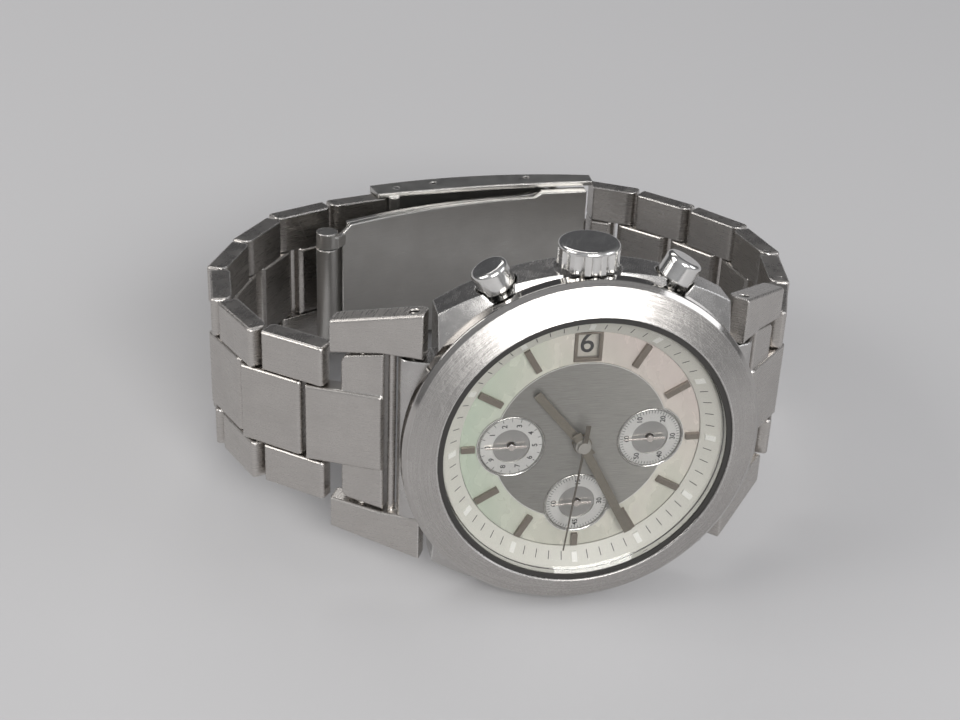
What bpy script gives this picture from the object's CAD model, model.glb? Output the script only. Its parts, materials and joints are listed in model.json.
import json
import math

import bpy
from mathutils import Matrix, Vector


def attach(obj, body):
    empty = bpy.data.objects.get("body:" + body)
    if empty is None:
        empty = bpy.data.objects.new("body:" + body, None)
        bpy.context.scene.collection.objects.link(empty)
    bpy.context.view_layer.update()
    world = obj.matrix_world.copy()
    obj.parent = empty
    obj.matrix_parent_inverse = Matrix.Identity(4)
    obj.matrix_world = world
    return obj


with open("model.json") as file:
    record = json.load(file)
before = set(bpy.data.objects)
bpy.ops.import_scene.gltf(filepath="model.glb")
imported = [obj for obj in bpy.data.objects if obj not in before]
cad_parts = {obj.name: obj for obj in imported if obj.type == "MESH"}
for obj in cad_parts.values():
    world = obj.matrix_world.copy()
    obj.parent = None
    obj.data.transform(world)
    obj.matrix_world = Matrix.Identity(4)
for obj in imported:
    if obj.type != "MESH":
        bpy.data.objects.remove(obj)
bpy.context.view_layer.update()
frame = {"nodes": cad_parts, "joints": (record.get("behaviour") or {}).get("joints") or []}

# ---------------------------------------------------------------------------
# The watch's own frame, in millimetres: x towards 6 o'clock, y towards the crown,
# z out of the dial, z = 0 at the bezel's opening.  It is worked out from the hands' axis.
# ---------------------------------------------------------------------------
MM = 0.001
JOINTS = {j["name"]: j for j in frame["joints"]}
DIAL_Z = -Vector(JOINTS["minute_spin"]["axis"]).normalized()
DIAL_X = Vector((1, 0, 0))
DIAL_Y = DIAL_Z.cross(DIAL_X)
DIAL_AT = Vector(JOINTS["minute_spin"]["pos_m"]) + DIAL_Z * 2.0 * MM
WATCH = Matrix((DIAL_X, DIAL_Y, DIAL_Z)).transposed().to_4x4()
WATCH.translation = DIAL_AT
WATCH = WATCH @ Matrix.Scale(MM, 4)

SUBDIAL_AT = 7.43
SUBDIALS = {12: (-SUBDIAL_AT, 0.0), 6: (SUBDIAL_AT, 0.0), 9: (0.0, -SUBDIAL_AT)}
SUBDIAL_TOP = -2.72
CENTRE_TOP = -2.67
PRINT_LIFT = 0.012
CENTRE_R = 9.35
BULGE_R = 3.68
NUMBER_R = 2.5
DATE_AT_Y = 11.25
DATE_TOP = -3.28
SLOPE_IN = (12.9, -2.6)
SLOPE_RATE = 1.4 / 1.85

# Camera, in metres, at the photograph's viewing angle
CAMERA_AT = (-0.0355, -0.13854, 0.12507)
CAMERA_LOOKS_AT = (-0.00244, 0.0, 0.01212)
CAMERA_ROLL = 5.36
CAMERA_LENS = 57.7


# ---------------------------------------------------------------- node helpers
class Shade:
    """A material being built: short names for its nodes and links."""

    def __init__(self, name):
        self.mat = bpy.data.materials.new(name)
        self.mat.use_nodes = True
        self.nodes = self.mat.node_tree.nodes
        self.links = self.mat.node_tree.links
        self.bsdf = self.nodes["Principled BSDF"]

    def add(self, kind, **values):
        node = self.nodes.new(kind)
        for key, value in values.items():
            setattr(node, key, value)
        return node

    def link(self, a, b):
        self.links.new(a, b)

    def feed(self, socket, value):
        if hasattr(value, "links"):
            self.link(value, socket)
        else:
            socket.default_value = value

    def math(self, op, a, b=0.0, c=0.0, clamp=False):
        node = self.add("ShaderNodeMath", operation=op, use_clamp=clamp)
        for socket, value in zip(node.inputs, (a, b, c)):
            self.feed(socket, value)
        return node.outputs[0]

    def vec(self, op, a, b=(0, 0, 0), scale=1.0):
        node = self.add("ShaderNodeVectorMath", operation=op)
        self.feed(node.inputs[0], a)
        self.feed(node.inputs[1], b)
        if op == "SCALE":
            self.feed(node.inputs["Scale"], scale)
        return node.outputs["Value"] if op in ("DOT_PRODUCT", "LENGTH", "DISTANCE") else node.outputs[0]

    def split(self, vector):
        return self.add_linked("ShaderNodeSeparateXYZ", vector).outputs

    def join(self, x, y, z=0.0):
        node = self.add("ShaderNodeCombineXYZ")
        for socket, value in zip(node.inputs, (x, y, z)):
            self.feed(socket, value)
        return node.outputs[0]

    def add_linked(self, kind, *inputs):
        node = self.add(kind)
        for socket, value in zip(node.inputs, inputs):
            self.feed(socket, value)
        return node

    def noise(self, vector, scale=1.0, detail=3.0, roughness=0.5):
        node = self.add("ShaderNodeTexNoise")
        self.feed(node.inputs["Vector"], vector)
        node.inputs["Scale"].default_value = scale
        node.inputs["Detail"].default_value = detail
        node.inputs["Roughness"].default_value = roughness
        return node.outputs[0]

    def ramp(self, value, stops, smooth=False):
        node = self.add("ShaderNodeValToRGB")
        ramp = node.color_ramp
        if smooth:
            ramp.interpolation = "EASE"
        while len(ramp.elements) < len(stops):
            ramp.elements.new(1.0)
        for element, (at, color) in zip(ramp.elements, stops):
            element.position = at
            element.color = (*color, 1.0) if len(color) == 3 else color
        self.feed(node.inputs[0], value)
        return node.outputs[0]

    def mix(self, factor, a, b):
        node = self.add("ShaderNodeMix", data_type="RGBA")
        self.feed(node.inputs[0], factor)
        self.feed(node.inputs[6], a if hasattr(a, "links") or len(a) == 4 else (*a, 1.0))
        self.feed(node.inputs[7], b if hasattr(b, "links") or len(b) == 4 else (*b, 1.0))
        return node.outputs[2]

    def span(self, value, low, high, to_low, to_high):
        node = self.add("ShaderNodeMapRange")
        for socket, v in zip(node.inputs, (value, low, high, to_low, to_high)):
            self.feed(socket, v)
        return node.outputs[0]

    def bump(self, height, strength, distance, normal=None):
        node = self.add("ShaderNodeBump")
        node.inputs["Strength"].default_value = strength
        node.inputs["Distance"].default_value = distance
        self.feed(node.inputs["Height"], height)
        if normal is not None:
            self.link(normal, node.inputs["Normal"])
        return node.outputs[0]

    def place(self):
        """The shaded point in the watch's frame, in millimetres."""
        here = self.add("ShaderNodeTexCoord").outputs["Object"]
        offset = self.vec("SUBTRACT", here, tuple(DIAL_AT))
        axes = [self.vec("DOT_PRODUCT", offset, tuple(a)) for a in (DIAL_X, DIAL_Y, DIAL_Z)]
        return self.vec("SCALE", self.join(*axes), scale=1000.0)

    def tangent(self, direction):
        """Feeds a brushing direction, given in row axes, to the shader."""
        node = self.add("ShaderNodeVectorTransform", vector_type="VECTOR", convert_from="OBJECT",
                        convert_to="WORLD")
        self.feed(node.inputs[0], direction)
        self.link(node.outputs[0], self.bsdf.inputs["Tangent"])

    def edges(self, radius):
        """A normal rounded over each edge, and a mask that is 1 on the edge."""
        bevel = self.add("ShaderNodeBevel", samples=4)
        bevel.inputs["Radius"].default_value = radius
        flat = self.add("ShaderNodeNewGeometry").outputs["Normal"]
        along = self.vec("DOT_PRODUCT", bevel.outputs[0], flat)
        return bevel.outputs[0], self.span(along, 0.99, 0.90, 0.0, 1.0)

    def set(self, **values):
        for key, value in values.items():
            socket = self.bsdf.inputs[key.replace("_", " ")]
            self.feed(socket, (*value, 1.0) if isinstance(value, tuple) and len(value) == 3 else value)


def tint(color, factor):
    """A colour made lighter or darker by one factor."""
    return tuple(c * factor for c in color)


# ---------------------------------------------------------------- metals
def scratches(s, place, scale, width):
    """Thin random scratches: the narrow dark lines of a stretched, turned noise."""
    lines = None
    for k, (ax, ay) in enumerate(((1.0, 0.35), (0.45, 1.0), (1.0, -0.8))):
        across = s.vec("DOT_PRODUCT", place, (ax, ay, 0.4))
        along = s.vec("DOT_PRODUCT", place, (-ay, ax, 0.15))
        warp = s.join(s.math("MULTIPLY", across, scale), s.math("MULTIPLY", along, scale * 0.07), 3.7 * k)
        near = s.math("ABSOLUTE", s.math("SUBTRACT", s.noise(warp, 1.0, 1.0), 0.5))
        line = s.math("LESS_THAN", near, width)
        lines = line if lines is None else s.math("MAXIMUM", lines, line)
    return lines


def brushed_link(name, color, rough):
    """Satin steel brushed along the bracelet, with brighter, worn edges."""
    s = Shade(name)
    place = s.place()
    normal = s.add("ShaderNodeTexCoord").outputs["Normal"]
    cross = s.vec("CROSS_PRODUCT", tuple(DIAL_Y), normal)
    along = s.vec("ADD", cross, tuple(DIAL_X * 0.02))
    s.tangent(s.vec("NORMALIZE", along))
    x, y, z = s.split(place)
    grain = s.join(s.math("MULTIPLY", x, 0.5), s.math("MULTIPLY", y, 26.0), s.math("MULTIPLY", z, 0.5))
    lines = s.noise(grain, 1.0, 4.0, 0.65)
    smudge = s.noise(place, 0.35, 4.0, 0.55)
    fine = scratches(s, place, 2.2, 0.006)
    bevel, edge = s.edges(0.28 * MM)
    rub = s.math("MULTIPLY", edge, s.span(smudge, 0.3, 0.7, 0.5, 1.0))
    tone = s.mix(s.span(lines, 0.3, 0.7, 0.0, 1.0), tint(color, 0.92), tint(color, 1.06))
    tone = s.mix(s.span(smudge, 0.35, 0.75, 0.0, 0.35), tone, tint(color, 0.78))
    s.link(s.mix(rub, tone, (0.86, 0.84, 0.81)), s.bsdf.inputs["Base Color"])
    uneven = s.math("MULTIPLY", smudge, 0.08)
    base = s.math("ADD", s.span(lines, 0.25, 0.75, rough - 0.05, rough + 0.07), uneven)
    base = s.math("SUBTRACT", base, s.math("MULTIPLY", rub, rough * 0.45))
    s.link(s.math("ADD", base, s.math("MULTIPLY", fine, 0.05)), s.bsdf.inputs["Roughness"])
    height = s.math("SUBTRACT", s.math("MULTIPLY", lines, 0.4), s.math("MULTIPLY", fine, 0.12))
    s.link(s.bump(height, 0.15, 0.02 * MM, bevel), s.bsdf.inputs["Normal"])
    s.set(Metallic=1.0, Anisotropic=0.55)
    return s.mat


def brushed_ring(name, color):
    """Steel turned in circles round the dial's axis, scratched by wear."""
    s = Shade(name)
    place = s.place()
    x, y, z = s.split(place)
    radius = s.math("SQRT", s.math("ADD", s.math("MULTIPLY", x, x), s.math("MULTIPLY", y, y)))
    angle = s.math("ARCTAN2", y, x)
    spin = s.add("ShaderNodeTexCoord").outputs["Object"]
    around = s.vec("CROSS_PRODUCT", tuple(DIAL_Z), s.vec("SUBTRACT", spin, tuple(DIAL_AT)))
    s.tangent(s.vec("NORMALIZE", around))
    turned = [s.math("MULTIPLY", value, scale) for value, scale in ((radius, 16.0), (angle, 3.0), (z, 4.0))]
    grain = s.join(*turned)
    lines = s.noise(grain, 1.0, 4.0, 0.7)
    smudge = s.noise(place, 0.3, 4.0, 0.6)
    fine = scratches(s, place, 2.6, 0.012)
    deep = scratches(s, s.vec("ADD", place, (7.0, 3.0, 0.0)), 1.1, 0.006)
    marks = s.math("MAXIMUM", fine, deep)
    bevel, edge = s.edges(0.14 * MM)
    tone = s.mix(s.span(lines, 0.3, 0.7, 0.0, 1.0), tint(color, 0.82), tint(color, 1.1))
    tone = s.mix(s.math("MULTIPLY", marks, 0.10), tone, (0.80, 0.78, 0.76))
    tone = s.mix(s.span(smudge, 0.4, 0.75, 0.0, 0.3), tone, tint(color, 0.8))
    s.link(s.mix(edge, tone, (0.88, 0.87, 0.85)), s.bsdf.inputs["Base Color"])
    # the flat chamfer at the rim is polished
    rim = s.span(radius, 18.45, 18.55, 0.0, 1.0)
    rough = s.math("ADD", s.span(lines, 0.25, 0.75, 0.18, 0.28), s.math("MULTIPLY", marks, 0.04))
    rough = s.math("SUBTRACT", rough, s.math("MULTIPLY", s.math("MAXIMUM", rim, edge), 0.16))
    s.link(rough, s.bsdf.inputs["Roughness"])
    height = s.math("SUBTRACT", s.math("MULTIPLY", lines, 0.5), s.math("MULTIPLY", marks, 0.08))
    s.link(s.bump(height, 0.14, 0.012 * MM, bevel), s.bsdf.inputs["Normal"])
    s.set(Metallic=1.0, Anisotropic=0.8)
    return s.mat


def polished(name, color=(0.80, 0.79, 0.77), rough=0.10, edge_radius=0.12, wear=0.1):
    """Polished steel with faint wipe marks and hairline scratches."""
    s = Shade(name)
    place = s.place()
    smudge = s.noise(place, 0.6, 4.0, 0.6)
    fine = scratches(s, place, 3.0, 0.008)
    bevel, edge = s.edges(edge_radius * MM)
    tone = s.mix(s.span(smudge, 0.35, 0.7, 0.0, 1.0), tint(color, 0.88), color)
    s.link(s.mix(edge, tone, (0.9, 0.89, 0.87)), s.bsdf.inputs["Base Color"])
    rub = s.math("ADD", s.span(smudge, 0.3, 0.7, rough, rough + 0.08), s.math("MULTIPLY", fine, wear))
    s.link(rub, s.bsdf.inputs["Roughness"])
    s.link(s.bump(s.math("MULTIPLY", fine, -wear), 0.2, 0.01 * MM, bevel), s.bsdf.inputs["Normal"])
    s.set(Metallic=1.0)
    return s.mat


def turned_silver(name, color, rough=0.3):
    """Each small dial's ring, cut in fine circles round its own centre."""
    s = Shade(name)
    place = s.place()
    x, y, z = s.split(place)
    best = None
    for cx, cy in SUBDIALS.values():
        dx = s.math("SUBTRACT", x, cx)
        dy = s.math("SUBTRACT", y, cy)
        r = s.math("SQRT", s.math("ADD", s.math("MULTIPLY", dx, dx), s.math("MULTIPLY", dy, dy)))
        inside = s.math("LESS_THAN", r, 4.0)
        here = s.vec("SCALE", s.join(dx, dy, r), scale=inside)
        best = here if best is None else s.vec("ADD", best, here)
    dx, dy, r = s.split(best)
    row_x = s.vec("SCALE", tuple(DIAL_X), scale=s.math("MULTIPLY", dy, -1.0))
    row_y = s.vec("SCALE", tuple(DIAL_Y), scale=dx)
    s.tangent(s.vec("NORMALIZE", s.vec("ADD", row_x, row_y)))
    lines = s.noise(s.join(s.math("MULTIPLY", r, 14.0), 0.0, 0.0), 1.0, 2.0, 0.6)
    tone = s.mix(s.span(lines, 0.3, 0.7, 0.0, 1.0), tint(color, 0.9), color)
    s.link(tone, s.bsdf.inputs["Base Color"])
    s.link(s.span(lines, 0.3, 0.7, rough, rough + 0.08), s.bsdf.inputs["Roughness"])
    s.link(s.bump(lines, 0.10, 0.01 * MM), s.bsdf.inputs["Normal"])
    s.set(Metallic=0.8, Anisotropic=0.5)
    return s.mat


def dial_grey(name, color=(0.38, 0.37, 0.35)):
    """The dial's centre: grey metal brushed from 12 to 6, satin lacquered."""
    s = Shade(name)
    place = s.place()
    x, y, z = s.split(place)
    lines = s.noise(s.join(s.math("MULTIPLY", x, 0.35), s.math("MULTIPLY", y, 15.0), 0.0), 1.0, 4.0, 0.7)
    fine = s.noise(s.join(s.math("MULTIPLY", x, 1.2), s.math("MULTIPLY", y, 40.0), 2.0), 1.0, 3.0, 0.7)
    both = s.math("ADD", s.math("MULTIPLY", lines, 0.6), s.math("MULTIPLY", fine, 0.4))
    s.tangent(tuple(DIAL_X))
    tone = s.mix(s.span(both, 0.35, 0.65, 0.0, 1.0), tint(color, 0.74), tint(color, 1.24))
    tone = s.vec("SCALE", tone, scale=s.span(x, -CENTRE_R, CENTRE_R, 0.85, 1.25))
    s.link(tone, s.bsdf.inputs["Base Color"])
    s.link(s.span(both, 0.3, 0.7, 0.38, 0.5), s.bsdf.inputs["Roughness"])
    s.link(s.bump(both, 0.3, 0.015 * MM), s.bsdf.inputs["Normal"])
    s.set(Metallic=0.75, Anisotropic=0.5)
    return s.mat


def mother_of_pearl(name):
    """Wavy cream shell with green and pink shimmer that changes round the band."""
    s = Shade(name)
    place = s.place()
    x, y, z = s.split(place)
    warp = s.noise(place, 0.32, 3.0, 0.6)
    warped_x = s.math("ADD", x, s.math("MULTIPLY", warp, 2.5))
    warped_y = s.math("ADD", y, s.math("MULTIPLY", warp, -2.0))
    wavy = s.join(warped_x, warped_y, 0.0)
    layers = s.noise(s.vec("MULTIPLY", wavy, (0.9, 0.35, 1.0)), 0.35, 2.5, 0.5)
    shell = s.ramp(layers, [(0.30, (0.60, 0.60, 0.52)),
                            (0.45, (0.66, 0.65, 0.57)),
                            (0.58, (0.73, 0.71, 0.63)),
                            (0.72, (0.68, 0.64, 0.59))])
    green = s.span(x, -3.0, -12.0, 0.0, 0.6)
    pink = s.span(s.math("ADD", x, y), 6.0, 16.0, 0.0, 0.55)
    tinted = s.mix(green, shell, (0.44, 0.58, 0.45))
    tinted = s.mix(pink, tinted, (0.62, 0.49, 0.49))
    s.link(tinted, s.bsdf.inputs["Base Color"])
    s.link(s.span(layers, 0.3, 0.7, 0.2, 0.34), s.bsdf.inputs["Roughness"])
    s.link(s.bump(layers, 0.04, 0.01 * MM), s.bsdf.inputs["Normal"])
    s.set(Metallic=0.15)
    s.bsdf.inputs["Coat Weight"].default_value = 0.6
    s.bsdf.inputs["Coat Roughness"].default_value = 0.08
    return s.mat


def lacquer(name, color, rough=0.35, metallic=0.0, speck=0.12, edge_radius=0.0, hub=0.0):
    """Painted, printed or moulded surface with a little mottling; bare metal within the hub's radius."""
    s = Shade(name)
    place = s.place()
    spots = s.noise(place, 3.0, 3.0, 0.6)
    tone = s.mix(s.span(spots, 0.3, 0.7, 0.0, 1.0), tuple(c * (1 - speck) for c in color), color)
    if hub:
        from_axis = s.vec("LENGTH", s.vec("MULTIPLY", place, (1.0, 1.0, 0.0)))
        tone = s.mix(s.span(from_axis, hub, hub + 0.02, 1.0, 0.0), tone, (0.46, 0.44, 0.41))
    s.link(s.span(spots, 0.3, 0.7, rough - 0.04, rough + 0.06), s.bsdf.inputs["Roughness"])
    if edge_radius:
        bevel, edge = s.edges(edge_radius * MM)
        tone = s.mix(s.math("MULTIPLY", edge, 0.5), tone, tuple(min(1.0, c * 1.6) for c in color))
        s.link(s.bump(spots, 0.05, 0.01 * MM, bevel), s.bsdf.inputs["Normal"])
    s.link(tone, s.bsdf.inputs["Base Color"])
    s.set(Metallic=metallic)
    return s.mat


def clear_glass(name):
    """Flat crystal: see-through, with its surface gloss only."""
    s = Shade(name)
    clear = s.add("ShaderNodeBsdfTransparent")
    clear.inputs[0].default_value = (0.985, 0.985, 0.98, 1.0)
    gloss = s.add("ShaderNodeBsdfGlossy")
    wipe = s.noise(s.place(), 0.5, 3.0, 0.6)
    s.link(s.span(wipe, 0.4, 0.7, 0.015, 0.06), gloss.inputs["Roughness"])
    fresnel = s.add("ShaderNodeFresnel")
    fresnel.inputs[0].default_value = 1.42
    mix = s.add("ShaderNodeMixShader")
    s.link(fresnel.outputs[0], mix.inputs[0])
    s.link(clear.outputs[0], mix.inputs[1])
    s.link(gloss.outputs[0], mix.inputs[2])
    s.nodes.remove(s.bsdf)
    s.link(mix.outputs[0], s.nodes["Material Output"].inputs[0])
    return s.mat


STEEL = (0.55, 0.525, 0.50)
satin = brushed_link("satin_steel", STEEL, 0.23)
satin_case = polished("satin_case", (0.56, 0.545, 0.53), 0.2, 0.25, 0.03)
sheet_steel = brushed_link("sheet_steel", (0.54, 0.53, 0.51), 0.27)
bezel_steel = brushed_ring("bezel_steel", (0.52, 0.50, 0.48))
bright = polished("bright_steel")
mirror = polished("crown_steel", (0.84, 0.83, 0.81), 0.07, 0.18)
silver = turned_silver("turned_silver", (0.90, 0.89, 0.87))
grey = dial_grey("dial_grey")
sub_grey = turned_silver("subdial_grey", (0.44, 0.43, 0.42), 0.3)
pearl = mother_of_pearl("mother_of_pearl")
flange = lacquer("minute_ring", (0.72, 0.71, 0.66), 0.4, 0.0, 0.05, 0.04)
pips = lacquer("hour_pips", (0.93, 0.93, 0.90), 0.35, 0.0, 0.02, 0.04)
bronze = lacquer("marker_bronze", (0.235, 0.20, 0.165), 0.34, 0.6, 0.12, 0.06)
hand = lacquer("hand_bronze", (0.24, 0.215, 0.175), 0.34, 0.6, 0.12, 0.06, hub=0.86)
needle = lacquer("needle_bronze", (0.15, 0.13, 0.105), 0.34, 0.6, 0.12, 0.0, hub=0.64)
pale = lacquer("pale_hand", (0.72, 0.66, 0.62), 0.22, 0.9, 0.08, 0.03)
ink = lacquer("ink", (0.035, 0.033, 0.035), 0.5)
pale_ink = lacquer("pale_ink", (0.72, 0.71, 0.70), 0.5)
rubber = lacquer("black_seal", (0.03, 0.028, 0.026), 0.5)
white = lacquer("date_white", (0.56, 0.53, 0.48), 0.5)
plastic = lacquer("movement_plastic", (0.78, 0.75, 0.66), 0.45)
brass = lacquer("brass", (0.70, 0.52, 0.24), 0.3, 1.0)
board = lacquer("board_green", (0.03, 0.16, 0.07), 0.4)
copper = lacquer("copper_wire", (0.60, 0.26, 0.12), 0.35, 1.0)
glass = clear_glass("crystal")

MATERIALS = {
    "mid_case": satin_case, "bezel": bezel_steel, "crystal": glass, "crystal_gasket": rubber,
    "minute_ring": flange, "dial_plate": grey, "dial_centre": grey, "pearl_ring": pearl,
    "subdial_rings": silver, "subdial_discs": sub_grey, "subdial_lips": bright, "hour_markers": bronze,
    "date_frame": bronze, "date_disc": white, "main_plate": brass, "circuit_board": board,
    "battery": bright, "motor_coils": copper, "movement_holder": plastic, "case_back": satin_case,
    "case_back_gasket": rubber, "crown_tube": bright, "pusher_sleeves": bright, "spring_bars": bright,
    "hour_pips": pips, "minute_hand": hand, "hour_hand": hand, "cannon_pinion": brass, "hour_wheel": brass,
    "minute_wheel": brass, "seconds_hand": needle, "tenths_hand": pale, "small_seconds_hand": pale,
    "chrono_minute_hand": pale, "setting_lever": bright, "winding_stem": bright, "crown": mirror,
    "pusher_2": mirror, "pusher_4": mirror, "clasp_cover": sheet_steel, "clasp_blade_outer": sheet_steel,
    "clasp_blade_inner": sheet_steel, "clasp_spring_bar": bright,
}
for name, obj in frame["nodes"].items():
    finish = MATERIALS.get(name, satin)
    for slot in obj.material_slots:
        slot.material = finish


# ---------------------------------------------------------------- printed marks
def piece(name, verts, faces, material, body):
    """A mesh given in watch millimetres, made into a named piece that rides a body."""
    mesh = bpy.data.meshes.new(name)
    mesh.from_pydata([WATCH @ Vector(v) for v in verts], [], faces)
    mesh.materials.append(material)
    obj = bpy.data.objects.new(name, mesh)
    bpy.context.scene.collection.objects.link(obj)
    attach(obj, body)
    return obj


def bar(verts, faces, centre, angle, r0, r1, width, z0, z1):
    """Adds a thin radial bar; its inner end is at height z0 and its outer end at z1."""
    cx, cy = centre
    ux, uy = math.cos(angle), math.sin(angle)
    first = len(verts)
    for lift in (0.0, 0.01):
        for r, z in ((r0, z0), (r1, z1)):
            for side in (-0.5, 0.5):
                verts.append((cx + ux * r - uy * side * width, cy + uy * r + ux * side * width, z + lift))
    for quad in ((0, 1, 3, 2), (4, 6, 7, 5), (0, 4, 5, 1), (2, 3, 7, 6), (0, 2, 6, 4), (1, 5, 7, 3)):
        faces.append([first + k for k in quad])


def clock_angle(turn):
    """Angle in the watch's xy plane of a place on the dial; turn 0 is 12 o'clock, clockwise."""
    return math.pi - 2 * math.pi * turn


def ring_of_bars(name, centre, count, r0, r1, width, z0, z1, material, skip=()):
    """Strokes spread evenly round a centre, as one printed piece."""
    verts, faces = [], []
    for k in range(count):
        if k in skip:
            continue
        bar(verts, faces, centre, clock_angle(k / count), r0, r1, width, z0, z1)
    return piece(name, verts, faces, material, "case")


def band(name, centre, r, width, z, material, steps, arc):
    """A flat printed line round part of a circle."""
    start, end = arc
    verts, faces = [], []
    for k in range(steps + 1):
        a = start + (end - start) * k / steps
        for rr in (r - width / 2, r + width / 2):
            for lift in (0.0, 0.01):
                verts.append((centre[0] + rr * math.cos(a), centre[1] + rr * math.sin(a), z + lift))
    for k in range(steps):
        b = 4 * k
        faces += [[b, b + 2, b + 6, b + 4], [b + 1, b + 5, b + 7, b + 3], [b, b + 4, b + 5, b + 1],
                  [b + 2, b + 3, b + 7, b + 6]]
    return piece(name, verts, faces, material, "case")


def numeral(name, text, x, y, z, height, material, body="case", right=(0, 1), bold=0.0):
    """A flat printed number; right is the reading direction in the watch's xy plane."""
    curve = bpy.data.curves.new(name, "FONT")
    curve.body = text
    curve.size = height * 1.4
    curve.align_x = "CENTER"
    curve.align_y = "CENTER"
    curve.extrude = 0.005
    curve.offset = bold
    maker = bpy.data.objects.new(name + "_text", curve)
    bpy.context.scene.collection.objects.link(maker)
    bpy.context.view_layer.update()
    mesh = bpy.data.meshes.new_from_object(maker.evaluated_get(bpy.context.evaluated_depsgraph_get()))
    bpy.data.objects.remove(maker)
    along = Vector((*right, 0.0))
    up = Vector((0, 0, 1)).cross(along)
    turn = Matrix((along, up, (0, 0, 1))).transposed().to_4x4()
    turn.translation = (x, y, z + 0.005)
    mesh.transform(WATCH @ turn)
    mesh.materials.clear()
    mesh.materials.append(material)
    obj = bpy.data.objects.new(name, mesh)
    bpy.context.scene.collection.objects.link(obj)
    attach(obj, body)
    return obj


def print_small_dials():
    z = SUBDIAL_TOP + PRINT_LIFT
    counts = {12: (20, 10), 6: (60, 6), 9: (60, 4)}
    words = {12: [str(k) for k in range(10)], 6: ["60", "10", "20", "30", "40", "50"],
             9: ["60", "15", "30", "45"]}
    for hour, centre in SUBDIALS.items():
        ticks, numbers = counts[hour]
        ring_of_bars("ticks_%d" % hour, centre, ticks, 2.92, 3.22, 0.05, z, z, ink)
        for k, word in enumerate(words[hour]):
            a = clock_angle(k / numbers)
            x = centre[0] + NUMBER_R * math.cos(a)
            y = centre[1] + NUMBER_R * math.sin(a)
            numeral("number_%d_%d" % (hour, k), word, x, y, z, 0.56, ink, bold=0.012)


def print_minute_ring():
    """Minute strokes on the sloped ring, none behind the hour blocks."""
    inner, outer = 13.35, 14.1
    heights = [SLOPE_IN[1] + (r - SLOPE_IN[0]) * SLOPE_RATE + PRINT_LIFT for r in (inner, outer)]
    hours = range(0, 60, 5)
    ring_of_bars("minute_strokes", (0, 0), 60, inner, outer, 0.085, *heights, ink, skip=hours)


def print_centre():
    """The pale line that follows the edge of the grey centre piece and of its round swellings."""
    z = CENTRE_TOP + PRINT_LIFT
    reach = SUBDIAL_AT ** 2
    at_centre = math.acos((reach + CENTRE_R ** 2 - BULGE_R ** 2) / (2 * SUBDIAL_AT * CENTRE_R))
    at_bulge = math.pi - math.acos((reach + BULGE_R ** 2 - CENTRE_R ** 2) / (2 * SUBDIAL_AT * BULGE_R))
    ways = {6: 0.0, 12: math.pi, 9: 1.5 * math.pi}
    for hour, way in ways.items():
        band("outline_%d" % hour, SUBDIALS[hour], BULGE_R - 0.04, 0.08, z, pale_ink, 40,
             (way - at_bulge, way + at_bulge))
    gaps = ((ways[6], ways[12]), (ways[12], ways[9]), (ways[9], 2 * math.pi))
    for k, (start, end) in enumerate(gaps):
        band("outline_centre_%d" % k, (0.0, 0.0), CENTRE_R - 0.04, 0.08, z, pale_ink, 60,
             (start + at_centre, end - at_centre))


print_small_dials()
print_minute_ring()
print_centre()
numeral("date_number", "6", 0.0, DATE_AT_Y, DATE_TOP + PRINT_LIFT, 2.3, ink, "date", (1, 0),
        0.02)


# ---------------------------------------------------------------- floor, light, camera
def floor_material():
    s = Shade("floor")
    place = s.add("ShaderNodeTexCoord").outputs["Object"]
    soft = s.noise(place, 6.0, 2.0, 0.5)
    s.link(s.mix(soft, (0.47, 0.467, 0.475), (0.51, 0.507, 0.515)), s.bsdf.inputs["Base Color"])
    s.set(Roughness=0.85)
    return s.mat


bpy.ops.mesh.primitive_plane_add(size=6.0)
floor = bpy.context.object
floor.name = "floor"
floor.data.materials.append(floor_material())


def area_light(name, at, to, size, watts, color=(1, 1, 1)):
    light = bpy.data.lights.new(name, "AREA")
    light.shape = "RECTANGLE"
    light.size, light.size_y = size
    light.energy = watts
    light.color = color
    obj = bpy.data.objects.new(name, light)
    obj.location = at
    obj.rotation_euler = (Vector(to) - Vector(at)).to_track_quat("-Z", "Y").to_euler()
    bpy.context.scene.collection.objects.link(obj)
    return obj


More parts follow.
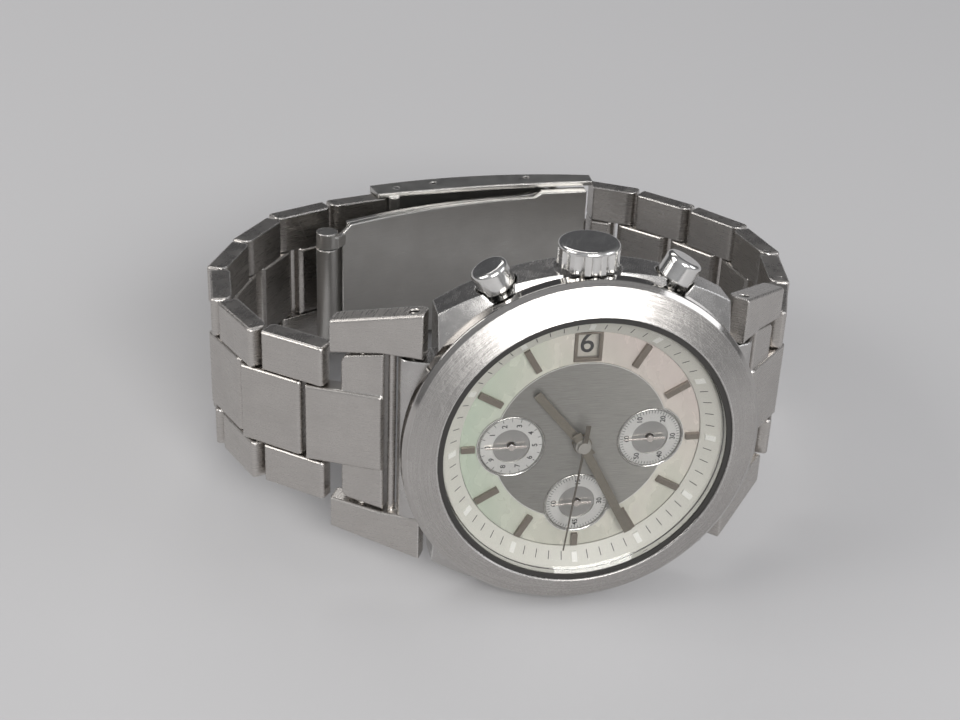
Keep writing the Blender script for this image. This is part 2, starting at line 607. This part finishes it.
area_light("window", (0.06, -0.52, 0.42), (0, 0, 0.02), (0.42, 0.26), 2.9, (1.0, 0.99, 0.975))
area_light("left", (-0.50, 0.02, 0.36), (0, 0, 0.02), (0.30, 0.30), 1.3, (1.0, 0.985, 0.96))
area_light("behind", (-0.05, 0.45, 0.42), (0, 0, 0.02), (0.50, 0.16), 0.7, (1.0, 0.99, 0.98))
area_light("right", (0.50, -0.15, 0.30), (0, 0, 0.02), (0.30, 0.30), 0.6, (0.94, 0.96, 1.0))

# A room that is bright in front and above, and darker behind and below the watch.
FRONT = (0.08, -0.74, 0.67)
world = bpy.data.worlds.new("studio")
bpy.context.scene.world = world
world.use_nodes = True
wn, wl = world.node_tree.nodes, world.node_tree.links
coord = wn.new("ShaderNodeTexCoord")
facing = wn.new("ShaderNodeVectorMath")
facing.operation = "DOT_PRODUCT"
facing.inputs[1].default_value = FRONT
wl.new(coord.outputs["Generated"], facing.inputs[0])
half = wn.new("ShaderNodeMapRange")
half.inputs["From Min"].default_value = -1.0
wl.new(facing.outputs["Value"], half.inputs["Value"])
sky = wn.new("ShaderNodeValToRGB")
sky.color_ramp.elements[0].position = 0.25
sky.color_ramp.elements[0].color = (0.15, 0.152, 0.16, 1)
sky.color_ramp.elements[1].position = 1.0
sky.color_ramp.elements[1].color = (0.80, 0.81, 0.83, 1)
middle = sky.color_ramp.elements.new(0.60)
middle.color = (0.38, 0.382, 0.39, 1)
wl.new(half.outputs[0], sky.inputs[0])
wl.new(sky.outputs[0], wn["Background"].inputs[0])
wn["Background"].inputs[1].default_value = 0.6

cam_data = bpy.data.cameras.new("camera")
cam_data.lens = CAMERA_LENS
cam_data.sensor_width = 36.0
cam_data.clip_start = 0.01
camera = bpy.data.objects.new("camera", cam_data)
look = Vector(CAMERA_LOOKS_AT) - Vector(CAMERA_AT)
level = look.to_track_quat("-Z", "Y").to_matrix().to_4x4()
roll = Matrix.Rotation(math.radians(CAMERA_ROLL), 4, "Z")
camera.matrix_world = Matrix.Translation(CAMERA_AT) @ level @ roll
bpy.context.scene.collection.objects.link(camera)
bpy.context.scene.camera = camera
bpy.context.scene.view_settings.view_transform = "Standard"
